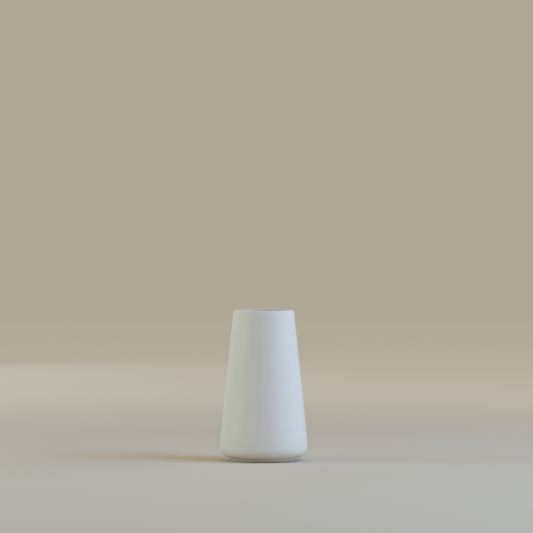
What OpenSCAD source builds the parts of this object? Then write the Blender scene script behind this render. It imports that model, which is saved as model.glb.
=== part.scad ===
// Ceramic bud vase: a slip-cast white clay body that leans in from a low, tightly
// rounded heel to a narrow mouth, and stands on a small bare foot ring.
//
// The clay is one fired piece. Three separate coats of glaze are fused to it: a matt
// coat outside and over the lip, a watertight liner inside, and a patch in the hollow
// under the base. The foot ring stays bare between the outside coat and that patch.
//
// Millimetres, +Z up. The origin is on the table, on the vase's axis.

/* [Overall] */
// Height of the glazed vase, from the table to the lip
vase_height = 140; // [100:1:200]
// Widest outside diameter, low on the body
body_diameter = 81; // [68:0.5:110]
// Outside diameter that the leaning wall reaches at the lip
mouth_diameter = 56; // [40:0.5:67]

/* [Heel] */
// Radius of the tight turn from the wall to the underside
heel_radius = 10; // [7:0.1:14]
// Radius of the slow turn from the leaning wall to the widest point
belly_radius = 120; // [60:1:200]

/* [Clay] */
// Thickness of the cast clay wall
clay_wall = 3; // [2:0.1:4.5]
// Thickness of the clay floor
clay_floor = 3.6; // [2:0.1:5]
// Radius of the sponged outside edge of the lip
lip_outer_radius = 1.5; // [0.4:0.1:2.2]
// Radius of the crisper inside edge of the lip
lip_inner_radius = 0.4; // [0.2:0.1:0.7]

/* [Foot] */
// Height of the underside above the table, outside the foot ring
foot_height = 2.8; // [2.2:0.1:6]
// Flat ledge between the heel and the foot ring
foot_ledge = 0.7; // [0.5:0.1:4]
// Thickness of the foot ring
foot_ring_width = 4.2; // [2.5:0.1:7]
// Depth of the hollow inside the foot ring
recess_depth = 2.8; // [2.2:0.1:6]
// Radius of the turns between the foot ring and the underside
foot_fillet = 0.5; // [0.3:0.1:0.7]
// Radius of the foot ring's two bottom edges
foot_edge = 0.6; // [0.2:0.1:1.2]

/* [Glaze] */
// Thickness of the matt coat outside
outer_glaze_thickness = 0.3; // [0.15:0.05:0.5]
// Thickness of the liner coat inside
liner_glaze_thickness = 0.35; // [0.15:0.05:0.6]
// Thickness of the patch under the base
base_glaze_thickness = 0.25; // [0.15:0.05:0.5]
// Height of bare clay left at the bottom of the foot ring
bare_foot = 1.3; // [0.6:0.1:1.8]
// How far the outside coat laps down inside the lip
lip_lap = 7; // [4:0.5:15]

/* [Hidden] */
$fn = 180;
arc_tolerance = 0.005; // largest gap between an arc and its chords
least_lip_flat = 0.3; // narrowest flat left between the lip's two edges

// The clay as it is before any glaze.
clay_height = vase_height - outer_glaze_thickness;
clay_body_r = body_diameter / 2 - outer_glaze_thickness;
clay_underside_z = foot_height + outer_glaze_thickness;
clay_recess_z = recess_depth + base_glaze_thickness;
clay_foot_r = body_diameter / 2 - heel_radius - foot_ledge - outer_glaze_thickness;
clay_foot_inner_r = clay_foot_r - foot_ring_width;
clay_cavity_r = clay_body_r - clay_wall;
clay_heel_radius = heel_radius - outer_glaze_thickness;
clay_belly_radius = belly_radius - outer_glaze_thickness;
clay_floor_z = max(clay_underside_z, clay_recess_z) + clay_floor;
clay_foot_edge = min(foot_edge, bare_foot - 0.1, foot_ring_width / 2 - 0.1);
clay_lip_outer = min(lip_outer_radius, clay_wall - lip_inner_radius - least_lip_flat);
cavity_heel_radius = max(1, foot_height + heel_radius - clay_floor_z);

// The vase is widest here, where the slow turn meets the tight one.
belly_z = foot_height + heel_radius;
belly_centre_r = body_diameter / 2 - belly_radius;

// The leaning wall is the tangent from the mouth to the slow turn: its angle from the vertical.
mouth_from_centre = [mouth_diameter / 2 - belly_centre_r, vase_height - belly_z];
lean = atan2(mouth_from_centre.y, mouth_from_centre.x)
    - acos(belly_radius / norm(mouth_from_centre));

// Radius at height z of the line that lies `outward` mm outside the clay's leaning wall.
function wall_r(z, outward) =
    belly_centre_r + (clay_belly_radius + outward) / cos(lean) - (z - belly_z) * tan(lean);

// Height at which that line meets the vertical through the widest point.
function belly_corner_z(outward) =
    belly_z + (clay_belly_radius + outward) * tan(lean / 2);

// Points of the arc that rounds the corner `here`, between `before` and `after`.
function corner_arc(before, here, after, radius) =
    let (
        back = (before - here) / norm(before - here),
        ahead = (after - here) / norm(after - here),
        half_corner = acos(back * ahead) / 2,
        centre = here + (back + ahead) / norm(back + ahead) * radius / sin(half_corner),
        first = here + back * radius / tan(half_corner) - centre,
        last = here + ahead * radius / tan(half_corner) - centre,
        start = atan2(first.y, first.x),
        turn = atan2(cross(first, last), first * last),
        steps = max(2, ceil(abs(turn) / (2 * acos(1 - arc_tolerance / radius))))
    )
    [for (k = [0 : steps]) centre + radius * [cos(start + turn * k / steps), sin(start + turn * k / steps)]];

// An open line through corners of the form [r, z, radius]. A corner of radius 0 stays sharp.
function rounded_line(corners) = [
    for (i = [0 : len(corners) - 1])
        let (here = [corners[i][0], corners[i][1]], radius = corners[i][2])
        each radius == 0
            ? [here]
            : corner_arc(
                [corners[i - 1][0], corners[i - 1][1]],
                here,
                [corners[i + 1][0], corners[i + 1][1]],
                radius
            )
];

function reversed(points) = [for (i = [len(points) - 1 : -1 : 0]) points[i]];

// The three lines below lie `out` mm proud of the clay: 0 is the clay, the coat's thickness is the glaze.

// From the bare foot, over the ledge, heel, wall and lip, to the end of the lap inside.
function outside_line(out) = rounded_line([
    [clay_foot_r + out, bare_foot, 0],
    [clay_foot_r + out, clay_underside_z - out, foot_fillet + outer_glaze_thickness - out],
    [clay_body_r + out, clay_underside_z - out, clay_heel_radius + out],
    [clay_body_r + out, belly_corner_z(out), clay_belly_radius + out],
    [wall_r(clay_height + out, out), clay_height + out, clay_lip_outer + out],
    [wall_r(clay_height + out, -clay_wall - out), clay_height + out, lip_inner_radius + out],
    [wall_r(vase_height - lip_lap, -clay_wall - out), vase_height - lip_lap, 0]
]);

// From the end of that lap, down the inside wall and across the floor to the axis.
function inside_line(out) = rounded_line([
    [wall_r(vase_height - lip_lap, -clay_wall - out), vase_height - lip_lap, 0],
    [clay_cavity_r - out, belly_corner_z(-clay_wall - out), clay_belly_radius - clay_wall - out],
    [clay_cavity_r - out, clay_floor_z + out, cavity_heel_radius - out],
    [0, clay_floor_z + out, 0]
]);

// From the axis, across the hollow under the base, to the bare inside of the foot ring.
function base_line(out) = rounded_line([
    [0, clay_recess_z - out, 0],
    [clay_foot_inner_r - out, clay_recess_z - out, foot_fillet + base_glaze_thickness - out],
    [clay_foot_inner_r - out, bare_foot, 0]
]);

// The bare foot ring, from its inside face round to its outside face.
function bare_ring_line() = rounded_line([
    [clay_foot_inner_r, bare_foot, 0],
    [clay_foot_inner_r, 0, clay_foot_edge],
    [clay_foot_r, 0, clay_foot_edge],
    [clay_foot_r, bare_foot, 0]
]);

// The last point of a line is the first of the next, so it is left out here.
function without_last(points) = [for (i = [0 : len(points) - 2]) points[i]];

module clay_body() {
    color("ivory")
    rotate_extrude()
    polygon(concat(
        without_last(base_line(0)),
        without_last(bare_ring_line()),
        without_last(outside_line(0)),
        inside_line(0)
    ));
}

// A coat of even thickness between a line on the clay and the same line moved off it.
module coat(line_on_clay, line_outside) {
    rotate_extrude()
    polygon(concat(line_on_clay, reversed(line_outside)));
}

module outer_glaze() {
    color("whitesmoke")
    coat(outside_line(0), outside_line(outer_glaze_thickness));
}

module liner_glaze() {
    color("white")
    coat(inside_line(0), inside_line(liner_glaze_thickness));
}

module base_glaze() {
    color("white")
    coat(base_line(0), base_line(base_glaze_thickness));
}

clay_body();
outer_glaze();
liner_glaze();
base_glaze();
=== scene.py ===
"""A ceramic bud vase: one slip-cast clay body under three coats of glaze, on a plain pale stage.

The clay's outline is one turned line. The body is that line spun round the vase's axis, and each
coat of glaze lies on a stretch of it. The matt coat thins over the lip and under the heel, the
liner pools above the floor, and every coat rounds off at its edges and wanders a little in
thickness, as sprayed, poured and sponged glaze does. The warmer tone where the matt coat thins
under the heel is also painted shade.
"""

import math

import bpy
import numpy as np
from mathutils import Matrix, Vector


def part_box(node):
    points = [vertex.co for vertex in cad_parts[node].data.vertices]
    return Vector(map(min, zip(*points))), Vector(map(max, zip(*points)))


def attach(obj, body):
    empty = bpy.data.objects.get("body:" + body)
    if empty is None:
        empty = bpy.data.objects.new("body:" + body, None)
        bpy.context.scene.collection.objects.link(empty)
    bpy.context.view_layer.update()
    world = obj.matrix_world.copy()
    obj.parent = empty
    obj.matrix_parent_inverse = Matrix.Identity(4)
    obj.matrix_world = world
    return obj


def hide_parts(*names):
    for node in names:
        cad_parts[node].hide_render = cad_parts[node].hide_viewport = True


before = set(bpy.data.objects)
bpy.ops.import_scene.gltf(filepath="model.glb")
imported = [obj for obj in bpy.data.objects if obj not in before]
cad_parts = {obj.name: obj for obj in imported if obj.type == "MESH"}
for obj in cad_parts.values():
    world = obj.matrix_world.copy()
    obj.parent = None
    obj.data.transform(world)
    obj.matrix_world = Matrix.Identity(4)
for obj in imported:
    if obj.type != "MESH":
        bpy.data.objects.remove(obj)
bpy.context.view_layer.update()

bl_info = {
    "name": "Ceramic bud vase",
    "version": (1, 0, 0),
    "blender": (4, 5, 0),
    "location": "View3D > Sidebar > Bud vase",
    "description": "Slip-cast bud vase with a matt glaze outside and a satin liner inside",
    "category": "Add Mesh",
}

BODY = "root"  # a vase has no moving parts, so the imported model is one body
MM = 0.001

clay_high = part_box("clay_body")[1]
outer_low, outer_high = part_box("outer_glaze")
liner_low, liner_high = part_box("liner_glaze")
base_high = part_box("base_glaze")[1]


# ---------------------------------------------------------------- sizes and colours

def length(name, description, default):
    """A size in metres that a user can change."""
    return bpy.props.FloatProperty(
        name=name, description=description, default=default, min=0, precision=5, unit="LENGTH"
    )


def linear(hex_colour):
    """An sRGB colour such as #E8E6E0 as linear red, green and blue."""
    code = int(hex_colour.lstrip("#"), 16)
    srgb = np.array([code >> 16, code >> 8 & 255, code & 255]) / 255
    return tuple(np.where(srgb <= 0.04045, srgb / 12.92, ((srgb + 0.055) / 1.055) ** 2.4))


def colour(name, description, hex_colour):
    """A colour that a user can change, given as sRGB hex and kept as linear light."""
    return bpy.props.FloatVectorProperty(
        name=name, description=description, default=linear(hex_colour), size=3,
        min=0, max=1, subtype="COLOR",
    )


class VaseSizes(bpy.types.PropertyGroup):
    """Sizes of the clay and its three coats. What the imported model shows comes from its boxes."""

    vase_height: length("Height", "From the table to the lip", outer_high.z)
    body_diameter: length("Body diameter", "Widest, low on the body", outer_high.x - outer_low.x)
    mouth_diameter: length("Mouth diameter", "Where the leaning wall meets the lip", 56 * MM)
    heel_radius: length("Heel radius", "Tight turn from wall to underside", 10 * MM)
    belly_radius: length("Belly radius", "Slow turn from leaning wall to widest point", 120 * MM)
    clay_wall: length("Clay wall", "Thickness of the cast wall", 3 * MM)
    lip_outer_radius: length("Lip, outside edge", "Radius of the sponged edge", 1.5 * MM)
    lip_inner_radius: length("Lip, inside edge", "Radius of the crisper edge", 0.4 * MM)
    floor_height: length("Floor height", "Top of the clay floor, above the table", liner_low.z)
    foot_height: length("Foot height", "Underside above the table", 2.8 * MM)
    foot_ledge: length("Foot ledge", "Flat between heel and foot ring", 0.7 * MM)
    foot_inner_radius: length("Foot inner radius", "Inside of the foot ring", base_high.x)
    recess_height: length("Recess height", "Clay over the hollow under the base", base_high.z)
    foot_fillet: length("Foot fillet", "Turns between foot ring and underside", 0.5 * MM)
    foot_edge: length("Foot edge", "Bottom edges of the foot ring", 0.6 * MM)
    outer_glaze: length("Outer glaze", "Thickness of the matt coat", outer_high.x - clay_high.x)
    liner_glaze: length("Liner glaze", "Thickness of the coat inside", 0.35 * MM)
    base_glaze: length("Base glaze", "Thickness of the patch under the base", 0.25 * MM)
    bare_foot: length("Bare foot", "Bare clay at the bottom of the foot ring", outer_low.z)
    lap_height: length("Lap height", "Where the matt coat ends inside the lip", liner_high.z)


class VaseColours(bpy.types.PropertyGroup):
    """Colours of the clay and its glazes."""

    clay: colour("Clay", "Bare fired stoneware", "#E6D1B9")
    # grit specks, and painted shade: a grey band round the foot ring's bottom edges where it meets
    # the table
    clay_grit_and_painted_shade: colour("Clay, grit and painted shade", "Grit, and painted shade round the foot's bottom edges", "#6E6253")
    matt_glaze: colour("Matt glaze", "Full coat outside", "#E7E6E2")
    # also painted shade: the warmer tone where the matt coat thins under the heel
    matt_glaze_thin_and_shade: colour("Matt glaze, thin", "Coat where the clay shows through, and painted shade under the heel", "#DFCDB6")
    liner_glaze: colour("Liner glaze", "Coat inside", "#E6E6E1")
    liner_glaze_pooled: colour("Liner glaze, pooled", "Coat where it has run together", "#D3D9D5")
    base_glaze: colour("Base glaze", "Patch under the base", "#E4E2DC")
    floor: colour("Floor", "Stage near the vase", "#D5D3C8")
    backdrop: colour("Backdrop", "Stage far from the vase", "#75746F")
    # painted light: the far stage glows as if it were a lit wall
    backdrop_glow: colour("Backdrop glow", "Light that the far stage gives back", "#A6A092")


# ---------------------------------------------------------------- the clay's outline

def unit(vector):
    """The vector at length 1."""
    return vector / np.linalg.norm(vector)


def corner_arc(before, here, after, radius, turn):
    """The arc that rounds a corner: tangent to both sides, so its centre lies on the line that
    halves the corner, radius / sin(half the corner) away. It has a stop every `turn` radians."""
    back, ahead = unit(before - here), unit(after - here)
    half_corner = math.acos(back @ ahead) / 2
    centre = here + unit(back + ahead) * radius / math.sin(half_corner)
    first = here + back * radius / math.tan(half_corner) - centre
    last = here + ahead * radius / math.tan(half_corner) - centre
    across = unit(last - first * (first @ last) / radius**2) * radius
    sweep = math.pi - 2 * half_corner
    angle = np.linspace(0, sweep, max(3, math.ceil(sweep / turn) + 1))[:, None]
    return centre + first * np.cos(angle) + across * np.sin(angle)


SAME_PLACE = 1e-7  # two arcs that meet this closely share one stop


class TurnedLine:
    """An outline of radius and height through named corners, with tangent arcs between straight
    runs. It is read by the distance along it, and its normals point out of the clay."""

    def __init__(self, corners, spacing, turn):
        """corners are (name, radius, height, rounding), and one with no rounding stays sharp.
        self.mark keeps each corner's distance, at the middle of its arc if it has one. Stops lie
        at most `spacing` apart on a straight run, and every `turn` radians on an arc."""
        places = [np.array(corner[1:3]) for corner in corners]
        stops, self.mark, count = [], {}, 0
        for index, (name, _, _, rounding) in enumerate(corners):
            if rounding:
                stretch = corner_arc(*places[index - 1:index + 2], rounding, turn)
            else:
                stretch = places[index][None]
            from_end = (len(stretch) + 1) // 2
            if index:
                start = stops[-1][-1]
                run = np.linalg.norm(stretch[0] - start)
                if run < SAME_PLACE:
                    stretch = stretch[1:]
                else:
                    between = np.linspace(0, 1, math.ceil(run / spacing) + 1)[1:-1, None]
                    stretch = np.concatenate([start + between * (stretch[0] - start), stretch])
            stops.append(stretch)
            count += len(stretch)
            self.mark[name] = count - from_end
        self.place = np.concatenate(stops)
        step = np.linalg.norm(np.diff(self.place, axis=0), axis=1)
        self.distance = np.concatenate([[0], np.cumsum(step)])
        self.mark = {name: self.distance[stop] for name, stop in self.mark.items()}
        tangent = np.gradient(self.place, axis=0)
        self.normal = np.stack([tangent[:, 1], -tangent[:, 0]], axis=1)
        self.normal /= np.linalg.norm(self.normal, axis=1, keepdims=True)

    def at(self, distance):
        """Radius, height and the normal's two parts at those distances, read off the line."""
        columns = np.concatenate([self.place, self.normal], axis=1).T
        return [np.interp(distance, self.distance, column) for column in columns]

    def stops(self, first, last):
        """The line's own stops from one mark to another, both marks among them."""
        start, end = self.mark[first], self.mark[last]
        inside = self.distance[(self.distance > start) & (self.distance < end)]
        return np.concatenate([[start], inside, [end]])


LEAST_CAVITY_HEEL = 1 * MM  # tightest turn from the inside wall to the floor


def clay_corners(size):
    """Corners of the clay's outline, from the axis under the base, round the foot ring, up the
    outside, over the lip and down the inside to the axis on the floor.

    The leaning wall is the tangent from the mouth to the slow turn above the belly. A line that
    lies `outward` of the clay's wall has the same lean, and its turns have the same centres."""
    body_r = size.body_diameter / 2
    clay_r = body_r - size.outer_glaze
    clay_height = size.vase_height - size.outer_glaze
    foot_r = body_r - size.heel_radius - size.foot_ledge - size.outer_glaze
    underside = size.foot_height + size.outer_glaze
    belly_height = size.foot_height + size.heel_radius
    belly_centre_r = body_r - size.belly_radius
    clay_belly = size.belly_radius - size.outer_glaze
    reach = np.array([size.mouth_diameter / 2 - belly_centre_r, size.vase_height - belly_height])
    lean = math.atan2(reach[1], reach[0]) - math.acos(size.belly_radius / np.linalg.norm(reach))
    cavity_heel = max(LEAST_CAVITY_HEEL, belly_height - size.floor_height)

    def wall_r(height, outward):
        return (belly_centre_r + (clay_belly + outward) / math.cos(lean)
                - (height - belly_height) * math.tan(lean))

    def belly_corner(outward):
        return belly_height + (clay_belly + outward) * math.tan(lean / 2)

    inside = -size.clay_wall
    return [
        ("base_centre", 0, size.recess_height, 0),
        ("recess", size.foot_inner_radius, size.recess_height, size.foot_fillet + size.base_glaze),
        ("base_edge", size.foot_inner_radius, size.bare_foot, 0),
        ("foot_inside", size.foot_inner_radius, 0, size.foot_edge),
        ("foot_outside", foot_r, 0, size.foot_edge),
        ("foot_line", foot_r, size.bare_foot, 0),
        ("ledge", foot_r, underside, size.foot_fillet + size.outer_glaze),
        ("heel", clay_r, underside, size.heel_radius - size.outer_glaze),
        ("belly", clay_r, belly_corner(0), clay_belly),
        ("lip_outside", wall_r(clay_height, 0), clay_height, size.lip_outer_radius),
        ("lip_inside", wall_r(clay_height, inside), clay_height, size.lip_inner_radius),
        ("lap", wall_r(size.lap_height, inside), size.lap_height, 0),
        ("cavity_belly", clay_r + inside, belly_corner(inside), clay_belly + inside),
        ("cavity_heel", clay_r + inside, size.floor_height, cavity_heel),
        ("floor_centre", 0, size.floor_height, 0),
    ]


# ---------------------------------------------------------------- surfaces round the axis

COLUMNS = 256
AZIMUTH = np.linspace(0, 2 * math.pi, COLUMNS, endpoint=False)
STOP_SPACING = 1.8 * MM  # between rows on a straight run of the outline
STOP_TURN = math.radians(4)  # between rows on an arc of the outline
SHARP_ANGLE = math.radians(70)  # an edge that turns more than this is shaded sharp

WAVES = 28
WAVE_SHORTEST, WAVE_LONGEST = 0.7, 1.5  # shares of the wavelength asked for
WANDER_LIMIT = 1.3
# Each unevenness has a seed of its own. The two coats that meet inside the lip share "lap".
SEEDS = {
    "clay_slow": 3, "clay_fine": 4, "outer_coat": 5, "liner_coat": 7, "base_coat": 8,
    "lap": 11, "foot_line": 12, "base_edge": 13,
}


def wander(points, wavelength, seed):
    """A smooth unevenness from about -1 to 1: the sum of plane waves of about that wavelength,
    each with a direction and phase of its own, divided by the root of twice their number. It is
    a function of place, so it has no seam."""
    draw = np.random.default_rng(SEEDS[seed])
    direction = draw.normal(size=(3, WAVES))
    direction /= np.linalg.norm(direction, axis=0)
    lengths = wavelength * draw.uniform(WAVE_SHORTEST, WAVE_LONGEST, WAVES)
    wave = direction * 2 * math.pi / lengths
    phase = draw.uniform(0, 2 * math.pi, WAVES)
    total = np.cos(points @ wave + phase).sum(axis=-1) / math.sqrt(2 * WAVES)
    return np.clip(total, -WANDER_LIMIT, WANDER_LIMIT)


def ease(value, start, end):
    """0 up to start and 1 from end on, with a smooth S between them."""
    t = np.clip((value - start) / (end - start), 0, 1)
    return t * t * (3 - 2 * t)


def hump(value, centre, width):
    """A bell of height 1 round the centre."""
    return np.exp(-((value - centre) / width) ** 2)


def spin(line, distance, outward):
    """Points (rows, columns, 3) on the line spun round the axis: at that distance along it, at
    each azimuth, moved `outward` along the normal. Both may change from column to column."""
    radius, height, normal_r, normal_z = line.at(distance)
    radius = radius + normal_r * outward
    height = height + normal_z * outward + 0 * AZIMUTH
    return np.stack([radius * np.cos(AZIMUTH), radius * np.sin(AZIMUTH), height], axis=-1)


CLAY_UNEVENNESS = 0.1 * MM  # how far the cast and sponged wall dips below its true outline
CLAY_SLOW, CLAY_SLOW_SHARE = 55 * MM, 0.62  # warp from the mould and the kiln
CLAY_FINE, CLAY_FINE_SHARE = 17 * MM, 0.38  # dips from the sponge
CLAY_TRUE_BELOW, CLAY_UNEVEN_ABOVE = 3 * MM, 16 * MM  # the foot is true, so that it stands flat


def clay_depth(line, distance):
    """How far the clay lies under its true outline, as a negative number: the greatest depth,
    times a half less half the unevenness, eased in from none on the foot."""
    true = spin(line, distance, 0.0)
    uneven = (CLAY_SLOW_SHARE * wander(true, CLAY_SLOW, "clay_slow")
              + CLAY_FINE_SHARE * wander(true, CLAY_FINE, "clay_fine"))
    eased = ease(true[..., 2], CLAY_TRUE_BELOW, CLAY_UNEVEN_ABOVE)
    return -CLAY_UNEVENNESS * (0.5 - 0.5 * uneven) * eased


def one_per_point(values, loop):
    """A grid's values in the order of its mesh's points. A row on the axis is a single point."""
    if loop:
        return values.reshape(-1, *values.shape[2:])
    rings = values[1:-1].reshape(-1, *values.shape[2:])
    return np.concatenate([values[0, :1], rings, values[-1, :1]])


def solid_of_revolution(name, grid, loop, shares=None):
    """A mesh with quads between neighbouring rows and columns. A loop's last row meets its first.
    Otherwise the first and last rows lie on the axis, and a fan of triangles closes each pole.
    shares, if given, are kept on the points as glaze_share: the coat's thickness there as a
    share of its full thickness, which its material reads."""
    rows, columns = grid.shape[:2]
    points = one_per_point(grid, loop)
    if loop:
        upper = np.arange(rows)
        next_row = (upper + 1) % rows
        start = 0
    else:
        upper = np.arange(rows - 3)
        next_row = upper + 1
        start = 1
    around = np.arange(columns)
    beside = (around + 1) % columns
    a = start + upper[:, None] * columns + around
    b = start + upper[:, None] * columns + beside
    c = start + next_row[:, None] * columns + beside
    d = start + next_row[:, None] * columns + around
    faces = np.stack([a, b, c, d], axis=-1).reshape(-1, 4).tolist()
    if not loop:
        last = len(points) - 1
        end_ring = start + (rows - 3) * columns
        faces += np.stack([0 * around, start + beside, start + around], axis=1).tolist()
        faces += np.stack([0 * around + last, end_ring + around, end_ring + beside], axis=1).tolist()
    mesh = bpy.data.meshes.new(name)
    mesh.from_pydata(points, [], faces)
    if shares is not None:
        attribute = mesh.attributes.new("glaze_share", "FLOAT", "POINT")
        attribute.data.foreach_set("value", one_per_point(shares, loop).astype(np.float32))
    mesh.shade_smooth()
    mesh.set_sharp_from_angle(angle=SHARP_ANGLE)
    mesh.validate()
    piece = bpy.data.objects.new(name, mesh)
    bpy.context.scene.collection.objects.link(piece)
    return piece


def bead(distance, width):
    """Share of the full thickness at that distance from a coat's edge: a quarter round."""
    inward = np.clip(distance / width, 0, 1)
    return np.sqrt(1 - (1 - inward) ** 2)


BEAD_STOPS = 7


def with_bead_stops(stops, width, first, last):
    """The stops, with some more inside each edge that has a bead, even round its quarter turn."""
    turn = width * (1 - np.cos(np.linspace(0, math.pi / 2, BEAD_STOPS + 1)[1:]))
    extra = ([stops[0] + turn] if first else []) + ([stops[-1] - turn] if last else [])
    return np.unique(np.concatenate([stops, *extra]))


def finish_piece(piece, node, material):
    """The piece wears the material, stands for its CAD node and rides on the one body."""
    piece.data.materials.append(material)
    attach(piece, BODY)
    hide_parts(node)


def vase_line(context):
    """The clay's outline from the sizes in the sidebar."""
    return TurnedLine(clay_corners(context.scene.vase_sizes), STOP_SPACING, STOP_TURN)


def coat(line, stops, thickness, edge_shift):
    """The exposed and the seated side of a coat, as two grids. The exposed side lies `thickness`
    out from the clay. edge_shift slides the stops along the clay, so an edge can waver."""
    distance = stops[:, None] + edge_shift + 0 * AZIMUTH
    seat = clay_depth(line, distance)
    return spin(line, distance, seat + thickness(distance)), spin(line, distance, seat)


# ---------------------------------------------------------------- materials

PAINTED_SHADE_HEIGHT = 0.35 * MM  # middle of the ring's rounded bottom edges, above the table, where painted shade greys the clay
FLOOR_CENTRE = (0, -0.15, 0)  # the pale floor reaches a little further towards the camera
FLOOR_ENDS, BACKDROP_STARTS = 0.4, 1.3  # metres from there, with a soft turn between them


def in_use(sockets, name):
    """The socket of that name that is in use: a Mix node has one of each name per data type."""
    return next(socket for socket in sockets if socket.name == name and socket.enabled)


def add(tree, kind, inputs=None, **settings):
    """Adds a node of that kind with its settings. inputs gives each socket a value or a link."""
    node = tree.nodes.new("ShaderNode" + kind)
    for name, value in settings.items():
        setattr(node, name, value)
    for name, value in (inputs or {}).items():
        socket = node.inputs[name] if isinstance(name, int) else in_use(node.inputs, name)
        if isinstance(value, bpy.types.NodeSocket):
            tree.links.new(value, socket)
        else:
            socket.default_value = value
    return node


def per_metre(pitch_mm):
    """The Scale at which a pattern repeats about every `pitch_mm` millimetres."""
    return 1 / (pitch_mm * MM)


def start_material(name):
    """An empty material with its tree, its shader and the piece's Object coordinates."""
    material = bpy.data.materials.new(name)
    material.use_nodes = True
    tree = material.node_tree
    tree.nodes.clear()
    shader = add(tree, "BsdfPrincipled")
    add(tree, "OutputMaterial", {"Surface": shader.outputs["BSDF"]})
    return material, tree, shader, add(tree, "TexCoord").outputs["Object"]


def rgba(rgb):
    """The colour with full alpha, as a colour socket takes it."""
    return (*rgb, 1)


def matt_white_glaze(colours):
    """Matt white stoneware glaze, sprayed on and fired. The eye sees a dry, even white with a
    soft broad sheen, a fine eggshell grain and faint clouds where the coat is thicker. Where the
    coat thins under the heel it turns warmer, and that is painted shade."""
    material, tree, shader, place = start_material("matt_white_glaze")
    clouds = add(tree, "TexNoise", {"Vector": place, "Scale": per_metre(24), "Detail": 3})
    thin = add(tree, "Attribute", attribute_name="glaze_share")
    cloud = add(tree, "MapRange", {"Value": clouds.outputs["Fac"], "From Min": 0.35,
                                   "From Max": 0.75, "To Min": 0.0, "To Max": 0.1})
    # painted shade: where the coat thins under the heel it turns warmer, standing in for the warm
    # shade there
    thin_and_heel_shade = add(tree, "MapRange", {"Value": thin.outputs["Fac"], "From Min": 0.85,
                                  "From Max": 0.45, "To Min": 0.0, "To Max": 0.8})
    show = add(tree, "Math", {0: cloud.outputs["Result"], 1: thin_and_heel_shade.outputs["Result"]},
               operation="MAXIMUM")
    tone = add(tree, "Mix", {"Factor": show.outputs["Value"], "A": rgba(colours.matt_glaze),
                             "B": rgba(colours.matt_glaze_thin_and_shade)}, data_type="RGBA")
    tree.links.new(in_use(tone.outputs, "Result"), shader.inputs["Base Color"])
    sheen = add(tree, "TexNoise", {"Vector": place, "Scale": per_metre(7), "Detail": 2})
    rough = add(tree, "MapRange", {"Value": sheen.outputs["Fac"], "From Min": 0.3,
                                   "From Max": 0.7, "To Min": 0.47, "To Max": 0.58})
    tree.links.new(rough.outputs["Result"], shader.inputs["Roughness"])
    # The real grain is about 0.2 mm across; it is drawn three times coarser, so that it shows.
    grain = add(tree, "TexNoise", {"Vector": place, "Scale": per_metre(0.7), "Detail": 2})
    dimples = add(tree, "TexNoise", {"Vector": place, "Scale": per_metre(3.2), "Detail": 1})
    soft = add(tree, "Bump", {"Height": dimples.outputs["Fac"], "Strength": 1.0,
                              "Distance": 0.05 * MM})
    fine = add(tree, "Bump", {"Height": grain.outputs["Fac"], "Strength": 1.0,
                              "Distance": 0.02 * MM, "Normal": soft.outputs["Normal"]})
    tree.links.new(fine.outputs["Normal"], shader.inputs["Normal"])
    shader.inputs["IOR"].default_value = 1.5
    return material


def bare_stoneware(colours):
    """White stoneware, slip-cast, sponged and fired bare. The eye sees a dry, warmer and
    slightly gritty band, and painted shade, grey, round the ring's bottom edges on the table."""
    material, tree, shader, place = start_material("bare_stoneware")
    grit = add(tree, "TexNoise", {"Vector": place, "Scale": per_metre(0.5), "Detail": 3})
    speck = add(tree, "MapRange", {"Value": grit.outputs["Fac"], "From Min": 0.56,
                                   "From Max": 0.72, "To Min": 0.0, "To Max": 0.25})
    height = add(tree, "SeparateXYZ", {"Vector": place})
    # painted shade: a grey band round the foot ring's rounded bottom edges, where it meets the table
    above = add(tree, "Math", {0: height.outputs["Z"], 1: PAINTED_SHADE_HEIGHT}, operation="SUBTRACT")
    off_edge = add(tree, "Math", {0: above.outputs["Value"]}, operation="ABSOLUTE")
    edge_shade = add(tree, "MapRange", {"Value": off_edge.outputs["Value"], "From Min": 0.35 * MM,
                                 "From Max": 0.2 * MM, "To Min": 0.0, "To Max": 0.9})
    grit_and_shade = add(tree, "Math", {0: speck.outputs["Result"], 1: edge_shade.outputs["Result"]},
               operation="MAXIMUM")
    tone = add(tree, "Mix", {"Factor": grit_and_shade.outputs["Value"], "A": rgba(colours.clay),
                             "B": rgba(colours.clay_grit_and_painted_shade)}, data_type="RGBA")
    tree.links.new(in_use(tone.outputs, "Result"), shader.inputs["Base Color"])
    rough = add(tree, "MapRange", {"Value": grit.outputs["Fac"], "To Min": 0.8, "To Max": 0.95})
    tree.links.new(rough.outputs["Result"], shader.inputs["Roughness"])
    bump = add(tree, "Bump", {"Height": grit.outputs["Fac"], "Distance": 0.06 * MM})
    tree.links.new(bump.outputs["Normal"], shader.inputs["Normal"])
    shader.inputs["IOR"].default_value = 1.5
    return material


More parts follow.
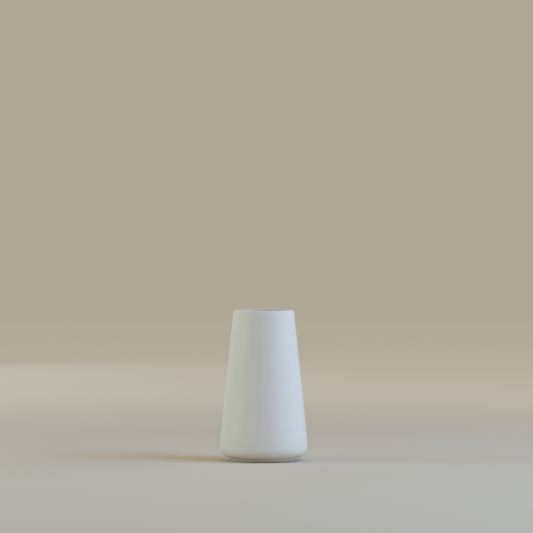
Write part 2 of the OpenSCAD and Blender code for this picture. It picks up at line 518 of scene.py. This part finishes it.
def satin_liner_glaze(colours):
    """Satin white glaze, poured in and tipped out. The eye sees a smoother, wetter white with
    slow vertical runs, a shade cooler where it has pooled above the floor."""
    material, tree, shader, place = start_material("satin_liner_glaze")
    depth = add(tree, "Attribute", attribute_name="glaze_share")
    pool = add(tree, "MapRange", {"Value": depth.outputs["Fac"], "From Min": 1.05,
                                  "From Max": 1.6, "To Min": 0.0, "To Max": 0.8})
    tone = add(tree, "Mix", {"Factor": pool.outputs["Result"], "A": rgba(colours.liner_glaze),
                             "B": rgba(colours.liner_glaze_pooled)}, data_type="RGBA")
    tree.links.new(in_use(tone.outputs, "Result"), shader.inputs["Base Color"])
    sheen = add(tree, "TexNoise", {"Vector": place, "Scale": per_metre(9), "Detail": 2})
    rough = add(tree, "MapRange", {"Value": sheen.outputs["Fac"], "From Min": 0.3,
                                   "From Max": 0.7, "To Min": 0.28, "To Max": 0.38})
    tree.links.new(rough.outputs["Result"], shader.inputs["Roughness"])
    ripple = add(tree, "TexNoise", {"Vector": place, "Scale": per_metre(4), "Detail": 1})
    bump = add(tree, "Bump", {"Height": ripple.outputs["Fac"], "Distance": 0.02 * MM})
    tree.links.new(bump.outputs["Normal"], shader.inputs["Normal"])
    shader.inputs["IOR"].default_value = 1.5
    return material


def base_patch_glaze(colours):
    """Thin matt white glaze, sponged into the hollow under the base. The eye sees a slightly
    streaky white with a finger-soft edge."""
    material, tree, shader, place = start_material("base_patch_glaze")
    streaks = add(tree, "TexNoise", {"Vector": place, "Scale": per_metre(6), "Detail": 3})
    fade = add(tree, "MapRange", {"Value": streaks.outputs["Fac"], "From Min": 0.35,
                                  "From Max": 0.7, "To Min": 0.0, "To Max": 0.35})
    tone = add(tree, "Mix", {"Factor": fade.outputs["Result"], "A": rgba(colours.base_glaze),
                             "B": rgba(colours.matt_glaze_thin_and_shade)}, data_type="RGBA")
    tree.links.new(in_use(tone.outputs, "Result"), shader.inputs["Base Color"])
    shader.inputs["Roughness"].default_value = 0.5
    bump = add(tree, "Bump", {"Height": streaks.outputs["Fac"], "Distance": 0.08 * MM})
    tree.links.new(bump.outputs["Normal"], shader.inputs["Normal"])
    shader.inputs["IOR"].default_value = 1.5
    return material


def painted_stage(colours):
    """Matt emulsion on a smooth board. The eye sees a plain pale floor round the vase that turns
    without an edge into a warmer backdrop, which glows with painted light, as a lit wall would."""
    material, tree, shader, place = start_material("painted_stage")
    away = add(tree, "VectorMath", {0: place, 1: FLOOR_CENTRE}, operation="DISTANCE")
    far = add(tree, "MapRange", {"Value": away.outputs["Value"], "From Min": FLOOR_ENDS,
                                 "From Max": BACKDROP_STARTS}, interpolation_type="SMOOTHSTEP")
    tone = add(tree, "Mix", {"Factor": far.outputs["Result"], "A": rgba(colours.floor),
                             "B": rgba(colours.backdrop)}, data_type="RGBA")
    tree.links.new(in_use(tone.outputs, "Result"), shader.inputs["Base Color"])
    # painted light: the far stage glows, standing in for a lit wall
    tree.links.new(far.outputs["Result"], shader.inputs["Emission Strength"])
    shader.inputs["Emission Color"].default_value = rgba(colours.backdrop_glow)
    shader.inputs["Roughness"].default_value = 0.9
    return material


# ---------------------------------------------------------------- the vase's pieces

class VASE_OT_clay_body(bpy.types.Operator):
    """Casts the clay body, foot ring and all."""

    bl_idname = "vase.clay_body"
    bl_label = "Clay body"

    def execute(self, context):
        line = vase_line(context)
        distance = line.stops("base_centre", "floor_centre")[:, None]
        grid = spin(line, distance, clay_depth(line, distance))
        piece = solid_of_revolution("slip_cast_clay", grid, loop=False)
        finish_piece(piece, "clay_body", bare_stoneware(context.scene.vase_colours))
        return {"FINISHED"}


# Width of the bead at each coat's edge
OUTER_EDGE, LINER_EDGE, BASE_EDGE = 0.45 * MM, 0.5 * MM, 0.35 * MM

# How an edge strays: over what length it comes and goes, and how far it reaches
FOOT_WAVE, FOOT_REACH = 9 * MM, 0.22 * MM
LAP_WAVE, LAP_REACH = 14 * MM, 0.7 * MM
HOLLOW_WAVE, HOLLOW_REACH = 8 * MM, 0.2 * MM

# How far behind an edge its straying still moves the rows
FOOT_FADE, LAP_FADE_ABOVE, LAP_FADE_BELOW, HOLLOW_FADE = 1.6 * MM, 5 * MM, 8 * MM, 1.2 * MM

# How a coat's thickness wanders: over what length, and by what share of it
OUTER_WAVE, OUTER_UNEVEN = 11 * MM, 0.08
LINER_WAVE, LINER_UNEVEN = 9 * MM, 0.06
BASE_WAVE, BASE_UNEVEN = 7 * MM, 0.1

LIP_THIN, LIP_WIDTH = 0.1, 2.2 * MM  # share that the sprayed coat loses over the lip
UNDER_THIN, UNDER_FADE = 0.4, 4 * MM  # share that it loses under the heel, out of the spray; the warmer tone it shows there is also painted shade
POOL, POOL_WIDTH = 0.75, 5 * MM  # share that the liner gains where the wall meets the floor
RUN_STRETCH = [1, 1, 0.18]  # a pattern on these shares of its place is drawn out up and down
SEAT_STEP = 3  # the matt coat's seat is out of sight, so every third row is enough


def edge_waver(line, mark, seed, wavelength, reach):
    """How far a coat's edge strays along the clay from its mark, at each azimuth."""
    ring = spin(line, np.array([[line.mark[mark]]]), 0.0)
    return reach * wander(ring, wavelength, seed)


def lap_waver(line):
    """How far the line where the matt coat meets the liner strays, the same for both."""
    return edge_waver(line, "lap", "lap", LAP_WAVE, LAP_REACH)


class VASE_OT_outer_glaze(bpy.types.Operator):
    """Sprays the matt coat, from a sponged line on the foot to a lap inside the lip."""

    bl_idname = "vase.outer_glaze"
    bl_label = "Matt outer glaze"

    def execute(self, context):
        size, line = context.scene.vase_sizes, vase_line(context)
        foot, lap, heel = line.mark["foot_line"], line.mark["lap"], line.mark["heel"]
        lip = (line.mark["lip_outside"] + line.mark["lip_inside"]) / 2
        stops = with_bead_stops(line.stops("foot_line", "lap"), OUTER_EDGE, True, True)
        at_foot = edge_waver(line, "foot_line", "foot_line", FOOT_WAVE, FOOT_REACH)
        at_lap = lap_waver(line)
        shift = (at_foot * ease(-stops, -foot - FOOT_FADE, -foot)[:, None]
                 + at_lap * ease(stops, lap - LAP_FADE_ABOVE, lap)[:, None])

        def thickness(distance):
            uneven = wander(spin(line, distance, 0.0), OUTER_WAVE, "outer_coat")
            nominal = size.outer_glaze * (1 - OUTER_UNEVEN + OUTER_UNEVEN * uneven)
            lip_thin = 1 - LIP_THIN * hump(distance, lip, LIP_WIDTH)
            under_thin = 1 - UNDER_THIN * (1 - ease(distance, heel, heel + UNDER_FADE))
            ends = (bead(distance - foot - at_foot, OUTER_EDGE)
                    * bead(lap + at_lap - distance, OUTER_EDGE))
            return nominal * lip_thin * under_thin * ends

        exposed, seat = coat(line, stops, thickness, shift)
        seat = seat[-2:0:-SEAT_STEP]
        shares = thickness(stops[:, None] + shift) / size.outer_glaze
        grid = np.concatenate([exposed, seat])
        all_shares = np.concatenate([shares, np.ones(seat.shape[:2])])
        piece = solid_of_revolution("matt_outer_coat", grid, loop=True, shares=all_shares)
        finish_piece(piece, "outer_glaze",
                     matt_white_glaze(context.scene.vase_colours))
        return {"FINISHED"}


class VASE_OT_liner_glaze(bpy.types.Operator):
    """Pours the satin liner, from the lap inside the lip down over the floor."""

    bl_idname = "vase.liner_glaze"
    bl_label = "Satin liner glaze"

    def execute(self, context):
        size, line = context.scene.vase_sizes, vase_line(context)
        lap, corner = line.mark["lap"], line.mark["cavity_heel"]
        stops = with_bead_stops(line.stops("lap", "floor_centre"), LINER_EDGE, True, False)
        at_lap = lap_waver(line)
        shift = at_lap * ease(-stops, -lap - LAP_FADE_BELOW, -lap)[:, None]

        def thickness(distance):
            runs = wander(spin(line, distance, 0.0) * RUN_STRETCH, LINER_WAVE, "liner_coat")
            nominal = size.liner_glaze * (1 - LINER_UNEVEN + LINER_UNEVEN * runs)
            pool = 1 + POOL * hump(distance, corner, POOL_WIDTH)
            return nominal * pool * bead(distance - lap - at_lap, LINER_EDGE)

        exposed, seat = coat(line, stops, thickness, shift)
        seat = seat[:0:-1]
        shares = thickness(stops[:, None] + shift) / size.liner_glaze
        grid = np.concatenate([seat, exposed])
        all_shares = np.concatenate([np.ones(seat.shape[:2]), shares])
        piece = solid_of_revolution("satin_liner_coat", grid, loop=False, shares=all_shares)
        finish_piece(piece, "liner_glaze",
                     satin_liner_glaze(context.scene.vase_colours))
        return {"FINISHED"}


class VASE_OT_base_glaze(bpy.types.Operator):
    """Sponges the patch of glaze into the hollow under the base."""

    bl_idname = "vase.base_glaze"
    bl_label = "Base glaze"

    def execute(self, context):
        size, line = context.scene.vase_sizes, vase_line(context)
        end = line.mark["base_edge"]
        stops = with_bead_stops(line.stops("base_centre", "base_edge"), BASE_EDGE, False, True)
        at_end = edge_waver(line, "base_edge", "base_edge", HOLLOW_WAVE, HOLLOW_REACH)
        shift = at_end * ease(stops, end - HOLLOW_FADE, end)[:, None]

        def thickness(distance):
            uneven = wander(spin(line, distance, 0.0), BASE_WAVE, "base_coat")
            nominal = size.base_glaze * (1 - BASE_UNEVEN + BASE_UNEVEN * uneven)
            return nominal * bead(end + at_end - distance, BASE_EDGE)

        exposed, seat = coat(line, stops, thickness, shift)
        grid = np.concatenate([exposed, seat[-2::-1]])
        piece = solid_of_revolution("base_glaze_patch", grid, loop=False)
        finish_piece(piece, "base_glaze", base_patch_glaze(context.scene.vase_colours))
        return {"FINISHED"}


# ---------------------------------------------------------------- the stage

STAGE_RADIUS, STAGE_CURVE, STAGE_HEIGHT = 4.6, 1.2, 2.6  # metres; the curve joins floor and wall
STAGE_COLUMNS, STAGE_ROWS = 96, 25
CAMERA_LENS, CAMERA_SENSOR = 265, 36  # millimetres
CAMERA_DISTANCE, CAMERA_HEIGHT, CAMERA_REACH = 3.64, 0.261, 20  # metres
FRAME_CENTRE = (0.0025, 0.0, 0.1803)  # the point that the camera looks at
VASE_MIDDLE = (0, 0, 0.07)  # the point that the lights face

# Name, azimuth and elevation in degrees, distance, width and height in metres, watts, colour.
# The watts and colours of the first five rows, the room's colour and strength, and the colours
# floor and backdrop_glow were solved for by a least-squares program, not chosen by hand. The
# last two rows were given, not solved for.
LIGHTS = (
    ("window_light", 65, 40, 1.9, 1.3, 0.8, 20.3, "#A1D2FF"),
    ("window_sill", 60, 7, 1.9, 1.3, 0.4, 6.6, "#E3F2FF"),
    ("window_side", 105, 20, 1.9, 1.2, 0.8, 4.8, "#EBFAFF"),
    ("fill_front", 300, 20, 1.9, 1.2, 0.8, 5.5, "#E4F8FF"),
    ("fill_left", 270, 20, 1.9, 1.2, 0.8, 9.4, "#DFFFFC"),
    ("fill_back", 205, 14, 1.9, 1.2, 0.6, 3.6, "#DCEBFF"),
    ("ceiling", 0, 88, 1.9, 1.6, 1.6, 10, "#FFE1BC"),
)
ROOM_COLOUR, ROOM_STRENGTH = "#FFAC4B", 0.146  # warm light from the room all round


def look_at(item, target):
    """Turns a light or camera at its place to face the target."""
    direction = np.array(target) - np.array(item.location)
    level = math.hypot(direction[0], direction[1])
    item.rotation_euler = (math.pi / 2 + math.atan2(direction[2], level), 0,
                           math.atan2(direction[1], direction[0]) - math.pi / 2)


def softbox(name, azimuth, elevation, distance, width, height, power, hex_colour):
    """A soft area light that faces the vase. Azimuth 0 is on the camera's side, 90 to its right."""
    lamp = bpy.data.lights.new(name, "AREA")
    lamp.shape, lamp.size, lamp.size_y = "RECTANGLE", width, height
    lamp.energy, lamp.color = power, linear(hex_colour)
    item = bpy.data.objects.new(name, lamp)
    bpy.context.scene.collection.objects.link(item)
    item.visible_camera = False
    turn, rise = math.radians(azimuth), math.radians(elevation)
    item.location = (distance * math.sin(turn) * math.cos(rise),
                     -distance * math.cos(turn) * math.cos(rise), distance * math.sin(rise))
    look_at(item, VASE_MIDDLE)


def stage_sheet(name, radius, height, material):
    """A sheet of the stage: rings of those radii and heights round the axis, joined by quads, or
    one flat disc where there is a single ring."""
    around = np.linspace(0, 2 * math.pi, STAGE_COLUMNS, endpoint=False)
    points = np.stack([radius[:, None] * np.cos(around), radius[:, None] * np.sin(around),
                       height[:, None] + 0 * around], axis=-1).reshape(-1, 3)
    column = np.arange(STAGE_COLUMNS)
    beside = (column + 1) % STAGE_COLUMNS
    row = np.arange(len(radius) - 1)[:, None] * STAGE_COLUMNS
    quads = np.stack([row + column, row + STAGE_COLUMNS + column, row + STAGE_COLUMNS + beside,
                      row + beside], axis=-1).reshape(-1, 4)
    mesh = bpy.data.meshes.new(name)
    mesh.from_pydata(points, [], quads.tolist() or [column.tolist()])
    mesh.shade_smooth()
    mesh.materials.append(material)
    sheet = bpy.data.objects.new(name, mesh)
    bpy.context.scene.collection.objects.link(sheet)
    return sheet


class VASE_OT_stage(bpy.types.Operator):
    """Sets the pale floor and backdrop, the soft lights and the camera."""

    bl_idname = "vase.stage"
    bl_label = "Stage, light and camera"

    def execute(self, context):
        material = painted_stage(context.scene.vase_colours)
        flat = STAGE_RADIUS - STAGE_CURVE
        turn = np.linspace(0, math.pi / 2, STAGE_ROWS)
        radius = np.append(flat + STAGE_CURVE * np.sin(turn), STAGE_RADIUS)
        height = np.append(STAGE_CURVE * (1 - np.cos(turn)), STAGE_HEIGHT)
        stage_sheet("stage_floor", np.array([flat]), np.array([0.0]), material)
        backdrop = stage_sheet("stage_backdrop", radius, height, material)
        backdrop.visible_diffuse = False  # it is seen, but doesn't light the vase

        for light in LIGHTS:
            softbox(*light)
        world = bpy.data.worlds.new("pale_room")
        world.use_nodes = True
        sky = world.node_tree.nodes["Background"]
        sky.inputs["Color"].default_value = rgba(linear(ROOM_COLOUR))
        sky.inputs["Strength"].default_value = ROOM_STRENGTH
        context.scene.world = world
        context.scene.view_settings.view_transform = "Standard"

        lens = bpy.data.cameras.new("camera")
        lens.lens, lens.sensor_width = CAMERA_LENS, CAMERA_SENSOR
        lens.clip_end = CAMERA_REACH
        camera = bpy.data.objects.new("camera", lens)
        context.scene.collection.objects.link(camera)
        camera.location = (0, -CAMERA_DISTANCE, CAMERA_HEIGHT)
        look_at(camera, FRAME_CENTRE)
        context.scene.camera = camera
        return {"FINISHED"}


class VASE_PT_sidebar(bpy.types.Panel):
    """The vase's sizes, colours and pieces in the sidebar."""

    bl_label = "Ceramic bud vase"
    bl_space_type = "VIEW_3D"
    bl_region_type = "UI"
    bl_category = "Bud vase"

    def draw(self, context):
        for step in STEPS:
            self.layout.operator(step.bl_idname)
        for group in (context.scene.vase_sizes, context.scene.vase_colours):
            box = self.layout.box()
            for name in group.bl_rna.properties.keys():
                if name not in ("name", "rna_type"):
                    box.prop(group, name)


STEPS = (
    VASE_OT_stage, VASE_OT_clay_body, VASE_OT_outer_glaze, VASE_OT_liner_glaze,
    VASE_OT_base_glaze,
)
CLASSES = (VaseSizes, VaseColours, *STEPS, VASE_PT_sidebar)


def register():
    for item in CLASSES:
        bpy.utils.register_class(item)
    bpy.types.Scene.vase_sizes = bpy.props.PointerProperty(type=VaseSizes)
    bpy.types.Scene.vase_colours = bpy.props.PointerProperty(type=VaseColours)


def unregister():
    del bpy.types.Scene.vase_sizes, bpy.types.Scene.vase_colours
    for item in reversed(CLASSES):
        bpy.utils.unregister_class(item)


def main():
    """Makes the stage and every piece."""
    register()
    bpy.ops.vase.stage()
    bpy.ops.vase.clay_body()
    bpy.ops.vase.outer_glaze()
    bpy.ops.vase.liner_glaze()
    bpy.ops.vase.base_glaze()


if __name__ == "__main__":
    main()
